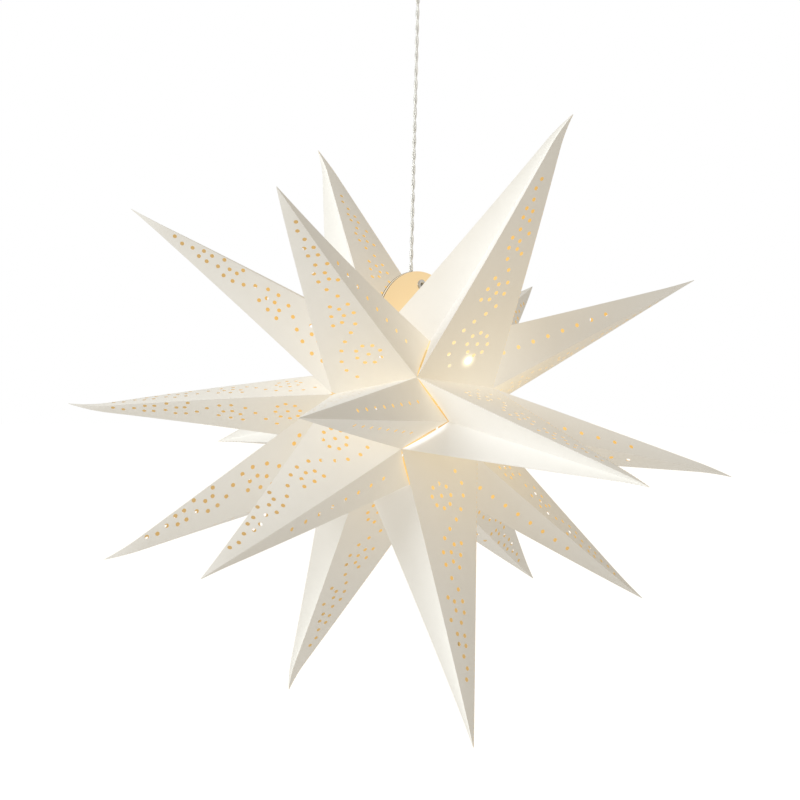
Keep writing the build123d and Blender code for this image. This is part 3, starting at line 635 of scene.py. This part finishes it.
def paper_sheet(number, column, edge_angle, middle_angle, seat):
    """One folded sheet: three half spikes and the strip by which it is glued to its neighbour.

    It reaches from its column's edge to its middle. seat is how far a card holds it off that edge."""
    turn_way = 1 if middle_angle > edge_angle else -1
    side_turn, middle_turn = radians(edge_angle), radians(middle_angle)
    far_turn = 2 * middle_turn - side_turn
    off = Vector((cos(side_turn), 0, -sin(side_turn))) * turn_way

    def on_side(along, radius, angle=side_turn, stand=seat):
        shift = off * stand
        return in_star(radius * sin(angle) + shift.x, along, radius * cos(angle) + shift.z)

    def on_middle(along, radius):
        return in_star(radius * sin(middle_turn), along, radius * cos(middle_turn))

    way = star_turn @ Vector((cos(middle_turn), 0, -sin(middle_turn))) * -turn_way
    sheet = bmesh.new()
    sheet.loops.layers.uv.new("slit")
    sheet.verts.layers.int.new("middle")
    lay = partial(lay_panel, sheet, way)
    shoulder_height = RIM_RADIUS - (CLOSURE_SINK if seat else 0)
    rims = {end: on_side(end * RIM_ALONG, shoulder_height) for end in (-1, 1)}
    far_rims = {end: on_side(end * RIM_ALONG, RIM_RADIUS, far_turn, 0) for end in (-1, 1)}
    valleys = {}
    for end in (-1, 1):
        along, up = VALLEY_SHIFTS.get((column, end), (0, 0))
        valleys[end] = on_middle(end * VALLEY_ALONG + along * MM, VALLEY_RADIUS + up * MM)

    def gusset(tip, rim, valley, inside, moved, holes, leak):
        edge = [rim]
        for i in range(1, BASE_STEPS + 1):
            share = i / BASE_STEPS
            edge.append(towards(rim.lerp(valley, share), tip, SEAM + SLIT_BOW * sin(pi * share)))
        corners = [towards(tip, rim, TIP_BLUNT), *edge, towards(tip, valley, TIP_BLUNT)]
        lay(tip, corners, [EDGE_STEPS, *[1] * BASE_STEPS, EDGE_STEPS, 1], inside, holes, -BOW, moved, 2,
            (rim, valley, leak))

    for end in (-1, 1):
        pole = on_side(end * POLE_ALONG, 0, stand=0)
        tip = on_middle(end * POLE_TIP_ALONG, POLE_TIP_RADIUS)
        moved = spike_bend(tip, [pole, rims[end], far_rims[end], valleys[end]], (column, end))
        inside = (pole + rims[end] + valleys[end] + tip) / 4
        feet = [towards(pole, tip, POLE_HOLE), towards(pole, rims[end], POLE_HOLE), rims[end]]
        lay_flower_panel(lay, tip, feet, inside, moved)
        gusset(tip, rims[end], valleys[end], inside, moved, gusset_holes(tip, rims[end], valleys[end]),
               LEAKS.get((column, end, turn_way), OUTER_LEAK))
    tip = on_middle(0, TIP_RADIUS)
    feet = [*rims.values(), *far_rims.values(), *valleys.values()]
    moved = spike_bend(tip, feet, (column, 0))
    inside = (tip + rims[-1] + rims[1] + valleys[-1] + valleys[1]) / 5
    lay_flower_panel(lay, tip, [rims[-1], rims[1]], inside, moved)
    for end in (-1, 1):
        gusset(tip, rims[end], valleys[end], inside, moved, [],
               LEAKS.get((column, 0, turn_way), MIDDLE_LEAK))
    fin = [on_side(*point) for point in arch(shoulder_height, GLUE_FIN)]
    steps = [BASE_STEPS] * 3 + [1] + [BASE_STEPS] * 3 + [1]
    lay(fin[0], fin, steps, fin[0] + star_turn @ off)

    bmesh.ops.remove_doubles(sheet, verts=sheet.verts, dist=MERGE_DISTANCE)
    piece = piece_of(sheet, f"punched_sheet_{number:02d}", OUTER_PAPER, INNER_PAPER)
    give_thickness(piece, way)
    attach(piece, "star")
    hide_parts(f"paper_sheet_{number:02d}")


column_edges = [0.0]
for width in COLUMN_WIDTHS + COLUMN_WIDTHS[::-1]:
    column_edges.append(column_edges[-1] + width)
sheet_number = 0
for column, (low, high) in enumerate(zip(column_edges, column_edges[1:])):
    for edge in (low, high):
        sheet_number += 1
        at_closure = edge in (column_edges[0], column_edges[-1])
        paper_sheet(sheet_number, column, edge, (low + high) / 2, CARD_OUTER if at_closure else 0)

# --- the cards, the stud and the bead ----------------------------------------------------------
# Two stiff cards lie on either side of the cord, painted cream and glowing with painted lamplight from
# inside. A nickel-plated press stud goes through their tabs and closes the star, and a moulded bead under
# them carries it on the cord.


def dress(node, material):
    """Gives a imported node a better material."""
    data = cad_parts[node].data
    data.materials.clear()
    data.materials.append(material)


def plain_finish(name, colours, roughness, grain, depth, **surface):
    """A surface with a faint even grain in its colour and its height.

    The grain's size and depth are in millimetres, coarser than the real ones so that they show."""
    material, tree, shader = new_material(name, Roughness=roughness, **surface)
    place = add(tree, "ShaderNodeTexCoord")
    noise = add(tree, "ShaderNodeTexNoise", {"Vector": place.outputs["Object"], "Scale": 1 / (grain * MM),
                                             "Detail": 4})
    tint = add(tree, "ShaderNodeMix", {"Factor": noise.outputs["Fac"], 6: srgb(colours[0]),
                                       7: srgb(colours[1])}, data_type="RGBA")
    tree.links.new(tint.outputs[2], shader.inputs["Base Color"])
    bump = add(tree, "ShaderNodeBump", {"Height": noise.outputs["Fac"], "Strength": 0.3,
                                        "Distance": depth * MM})
    tree.links.new(bump.outputs["Normal"], shader.inputs["Normal"])
    return material


def spun(name, outline, centre, axis, sides, material):
    """Turns an outline of (radius, distance along the axis) points into a closed ring or cap."""
    side = axis.orthogonal().normalized()
    other = axis.cross(side)
    corners, faces = [], []
    for i in range(sides):
        out = side * cos(2 * pi * i / sides) + other * sin(2 * pi * i / sides)
        corners += [centre + out * radius + axis * along for radius, along in outline]
    count = len(outline)
    for i in range(sides):
        for j in range(count):
            k = (j + 1) % count
            if outline[j][0] > 0 or outline[k][0] > 0:
                here, there = i * count, (i + 1) % sides * count
                faces.append((here + j, here + k, there + k, there + j))
    solid = bmesh.new()
    placed = [solid.verts.new(corner) for corner in corners]
    for face in faces:
        solid.faces.new([placed[k] for k in face])
    bmesh.ops.remove_doubles(solid, verts=solid.verts, dist=SAME_SPOT)
    bmesh.ops.recalc_face_normals(solid, faces=solid.faces)
    piece = piece_of(solid, name, material)
    piece.data.polygons.foreach_set("use_smooth", [True] * len(piece.data.polygons))
    piece.data.set_sharp_from_angle(angle=SHARP_EDGE)
    return piece


# Painted lamplight: the card's cream tones and its glow stand in for the lamp's light showing through it.
card_painted_cream_glow = paper_with_painted_glow("card_painted_cream_glow", "#F4E6C9", "#EFDFBE", (0.75, 0.6, 0.4, 0.2),
                        ("#FFE2B0", "#FCDAA3", "#F6D19A", "#EFCA92"), edge="#3E362A")
# Bright plating: nearly a mirror, a little warm.
nickel = plain_finish("plated_nickel", ("#C9C6BF", "#B8B5AD"), 0.22, 1.11, 0.02, Metallic=1.0)
CARD_BAND = 10 * MM
TAB_CENTRE = 75 * MM  # up from the star's centre, as is the stud
TAB_RADIUS = 43 * MM
TAB_STEPS = 60
STOP_ROOM = 5 * MM  # half the notch's width
STUD_HEIGHT = 106.5 * MM
STUD_RADIUS = 4.6 * MM
STUD_BORE = 1.4 * MM
STUD_NECK = 1.9 * MM  # outside of the neck
STUD_SHEET = 0.5 * MM
STUD_DOME = 0.45 * MM  # how far the flange's middle stands up
STUD_STEPS = 14
NECK_SIDES = 24
ROUND_SIDES = 48
SAME_SPOT = 0.001 * MM
SHARP_EDGE = radians(40)


def end_card(hand, way):
    """A flat arch with a half-round tab, a hole for the stud's neck and a notch that holds the bead."""
    line = bpy.data.curves.new("card", "CURVE")
    line.dimensions = "2D"
    line.fill_mode = "BOTH"
    line.extrude = (CARD_OUTER - CARD_GAP / 2) / 2
    corners = arch(RIM_RADIUS - CLOSURE_SINK, CARD_BAND)
    seat, low = RIM_RADIUS - CARD_BAND, corners[5][1]
    notch = [(side * STOP_ROOM - seat * tan(STAR_TILT), up)
             for side, up in ((1, low), (1, seat), (-1, seat), (-1, low))]
    tab = [(-TAB_RADIUS * cos(pi * i / TAB_STEPS), TAB_CENTRE + TAB_RADIUS * sin(pi * i / TAB_STEPS))
           for i in range(TAB_STEPS + 1)]
    turns = [2 * pi * i / NECK_SIDES for i in range(NECK_SIDES)]
    hole = [(STUD_NECK * cos(turn), STUD_HEIGHT + STUD_NECK * sin(turn)) for turn in turns]
    for points in (corners[:2] + tab + corners[2:6] + notch + corners[6:], hole):
        spline = line.splines.new("POLY")
        spline.points.add(len(points) - 1)
        for point, (along, up) in zip(spline.points, points):
            point.co = (along, up, 0, 1)
        spline.use_cyclic_u = True
    holder = bpy.data.objects.new("card", line)
    solid = bmesh.new()
    solid.from_mesh(bpy.data.meshes.new_from_object(holder))
    bpy.data.objects.remove(holder)
    middle = way * (CARD_OUTER + CARD_GAP / 2) / 2
    for corner in solid.verts:
        corner.co = in_star(middle + corner.co.z, corner.co.x, corner.co.y)
    bmesh.ops.remove_doubles(solid, verts=solid.verts, dist=SAME_SPOT)
    bmesh.ops.recalc_face_normals(solid, faces=solid.faces)
    card = piece_of(solid, f"card_painted_cream_glow_{hand}", card_painted_cream_glow)
    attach(card, "star")
    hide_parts(f"end_card_{hand}")


def eyelet(hand, way):
    """A ring of the stud: a neck through the card, rolled over into a domed flange."""
    outline = [(STUD_BORE, CARD_GAP / 2), (STUD_NECK, CARD_GAP / 2), (STUD_NECK, CARD_OUTER),
               (STUD_RADIUS, CARD_OUTER)]
    for i in range(STUD_STEPS + 1):
        turn = pi * i / STUD_STEPS
        outline.append((STUD_BORE + (STUD_RADIUS - STUD_BORE) * (0.5 + 0.5 * cos(turn)),
                        CARD_OUTER + STUD_SHEET / 2 + (STUD_SHEET / 2 + STUD_DOME) * sin(turn)))
    ring = spun(f"eyelet_{hand}", outline, in_star(0, 0, STUD_HEIGHT), Vector((way, 0, 0)), ROUND_SIDES,
                nickel)
    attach(ring, "star")
    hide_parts(f"stud_ring_{hand}")


for hand, way in (("right", 1), ("left", -1)):
    end_card(hand, way)
    eyelet(hand, way)
dress("stud_socket", nickel)
dress("stud_post", nickel)
clear_plastic = clear_soft_plastic()
for node in ("cord_between_cards", "cord_tail"):
    dress(node, clear_plastic)
# Bright wire close under clear plastic: pale grey and glossy.
silver_lead = plain_finish("clear_plastic_over_wire", ("#D9D6CE", "#C4C1B8"), 0.25, 1.25, 0.05)
for node in ("cord_stop", "lamp_lead"):
    dress(node, silver_lead)

# --- the lamp ----------------------------------------------------------------------------------
# A white moulded holder with brass contacts, and a push-in bulb with a frosted globe over
# a small board of yellow chips.

# Moulded plastic has a soft sheen, bare strip a warm rolled shine, and the board's lacquer is satin.
holder_plastic = plain_finish("moulded_white_plastic", ("#EDEBE4", "#E7E4DC"), 0.38, 1.43, 0.03)
brass = plain_finish("brass_strip", ("#C9A25A", "#B98F49"), 0.3, 1.11, 0.02, Metallic=1.0)
white_board = plain_finish("white_circuit_board", ("#F2F2EF", "#E8E8E4"), 0.4, 2, 0.02)
GLOBE_RADIUS = 16 * MM
GLOBE_NECK = 7 * MM
GLOBE_WALL = 0.9 * MM
GLOBE_STEPS = 24
LAMP_AXIS = Vector((0.62988, 0.73230, -0.25882))
BRIGHT_CORE = 3 * MM  # the brightest part of the globe, and where it has faded, from the hot spot
BRIGHT_REACH = 12 * MM


def frosted_globe():
    """Frosted plastic lit from inside: warm white, brightest towards the hot spot."""
    material, tree, shader = new_material("frosted_globe", Base_Color=srgb("#3A352B"), Roughness=0.45)
    place = add(tree, "ShaderNodeTexCoord")
    reach = add(tree, "ShaderNodeVectorMath", {0: place.outputs["Object"], 1: HOT_SPOT},
                operation="DISTANCE")
    glow = add(tree, "ShaderNodeMapRange", {"Value": reach.outputs["Value"], "From Min": BRIGHT_CORE,
                                            "From Max": BRIGHT_REACH, "To Min": 4.0, "To Max": 0.98})
    shader.inputs["Emission Color"].default_value = srgb("#FFF1C6")
    tree.links.new(glow.outputs["Result"], shader.inputs["Emission Strength"])
    return material


def phosphor_chip():
    """The yellow phosphor over a light-emitting chip."""
    return new_material("phosphor", Base_Color=srgb("#F3C24A"), Roughness=0.5, Emission_Color=srgb("#FFE09A"),
                        Emission_Strength=3.0)[0]


dress("lamp_holder", holder_plastic)
dress("holder_contacts", brass)
dress("bulb_pins", brass)
dress("bulb_base", holder_plastic)
turns = [(pi - asin(GLOBE_NECK / GLOBE_RADIUS)) * i / GLOBE_STEPS for i in range(GLOBE_STEPS + 1)]
outline = [(GLOBE_RADIUS * sin(turn), GLOBE_RADIUS * cos(turn)) for turn in turns]
outline += [((GLOBE_RADIUS - GLOBE_WALL) * sin(turn), (GLOBE_RADIUS - GLOBE_WALL) * cos(turn))
            for turn in turns[::-1]]
globe = spun("frosted_cap", outline, LAMP_CENTRE, LAMP_AXIS, ROUND_SIDES, frosted_globe())
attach(globe, "bulb")
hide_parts("bulb_globe")
dress("led_board", white_board)
dress("led_chips", phosphor_chip())

# --- the ceiling cup ---------------------------------------------------------------------------
# A small white moulded cup screwed to a zinc-plated strip on the ceiling, with a terminal block
# inside it and a gland that the cord comes out of.

# Plated steel is a cool, slightly clouded metal, and undyed nylon is matt and creamy.
zinc = plain_finish("zinc_plated_steel", ("#B9BCBE", "#A4A8AB"), 0.32, 3.33, 0.03, Metallic=1.0)
block_plastic = plain_finish("natural_nylon", ("#E9E4D6", "#DED8C8"), 0.5, 1.67, 0.03)
for node, finish in (("ceiling_cup", holder_plastic), ("cord_gland", holder_plastic),
                     ("ceiling_bracket", zinc), ("cup_screws", nickel), ("gland_screw", nickel),
                     ("terminal_block", block_plastic), ("terminal_screws", brass)):
    dress(node, finish)

# --- the room ----------------------------------------------------------------------------------
# A white studio: a pale floor well below the star, white all round, and one large soft light up
# on the camera's left.

FLOOR_DROP = 1900 * MM
FLOOR_HALF = 30
KEY_SIZE = 1.3
KEY_POWER = 46


def seen(tree):
    """1 for a ray from the camera, a shiny face or clear plastic, 0 for one that only lights."""
    path = add(tree, "ShaderNodeLightPath").outputs
    direct = add(tree, "ShaderNodeMath", {0: path["Is Camera Ray"], 1: path["Is Glossy Ray"]},
                 operation="MAXIMUM")
    return add(tree, "ShaderNodeMath", {0: direct.outputs[0], 1: path["Is Transmission Ray"]},
               operation="MAXIMUM").outputs[0]


def white_floor():
    """Painted white: seen itself it is white, darker only where a shadow falls."""
    material = bpy.data.materials.new("white_floor")
    material.use_nodes = True
    tree = material.node_tree
    tree.nodes.clear()
    paint = add(tree, "ShaderNodeBsdfDiffuse", {"Color": srgb("#FFFFFF")})
    white = add(tree, "ShaderNodeEmission", {"Color": srgb("#FFFFFF"), "Strength": 0.6})
    both = add(tree, "ShaderNodeAddShader", {0: paint.outputs[0], 1: white.outputs[0]})
    chosen = add(tree, "ShaderNodeMixShader", {0: seen(tree), 1: paint.outputs[0], 2: both.outputs[0]})
    add(tree, "ShaderNodeOutputMaterial", {"Surface": chosen.outputs[0]})
    return material


corners = [(x * FLOOR_HALF, y * FLOOR_HALF, -FLOOR_DROP) for x, y in ((-1, -1), (1, -1), (1, 1), (-1, 1))]
floor = new_piece("floor", corners, [(0, 1, 2, 3)], [white_floor()], smooth=False)

world = bpy.data.worlds.new("white_room")
scene.world = world
world.use_nodes = True
sky = world.node_tree
sky.nodes.clear()
dim = add(sky, "ShaderNodeBackground", {"Color": srgb("#F6EEE1"), "Strength": 0.6})
white = add(sky, "ShaderNodeBackground", {"Color": srgb("#FFFFFF"), "Strength": 1.0})
chosen = add(sky, "ShaderNodeMixShader", {0: seen(sky), 1: dim.outputs[0], 2: white.outputs[0]})
add(sky, "ShaderNodeOutputWorld", {"Surface": chosen.outputs[0]})

key_light = bpy.data.lights.new("key_light", "AREA")
key_light.size = KEY_SIZE
key_light.energy = KEY_POWER
key_light.color = srgb("#F3F9FF")[:3]
key = bpy.data.objects.new("key_light", key_light)
key.location = STAR_CENTRE + TO_KEY_LIGHT
key.rotation_euler = (-TO_KEY_LIGHT).to_track_quat("-Z", "Y").to_euler()
scene.collection.objects.link(key)

scene.view_settings.view_transform = "Standard"
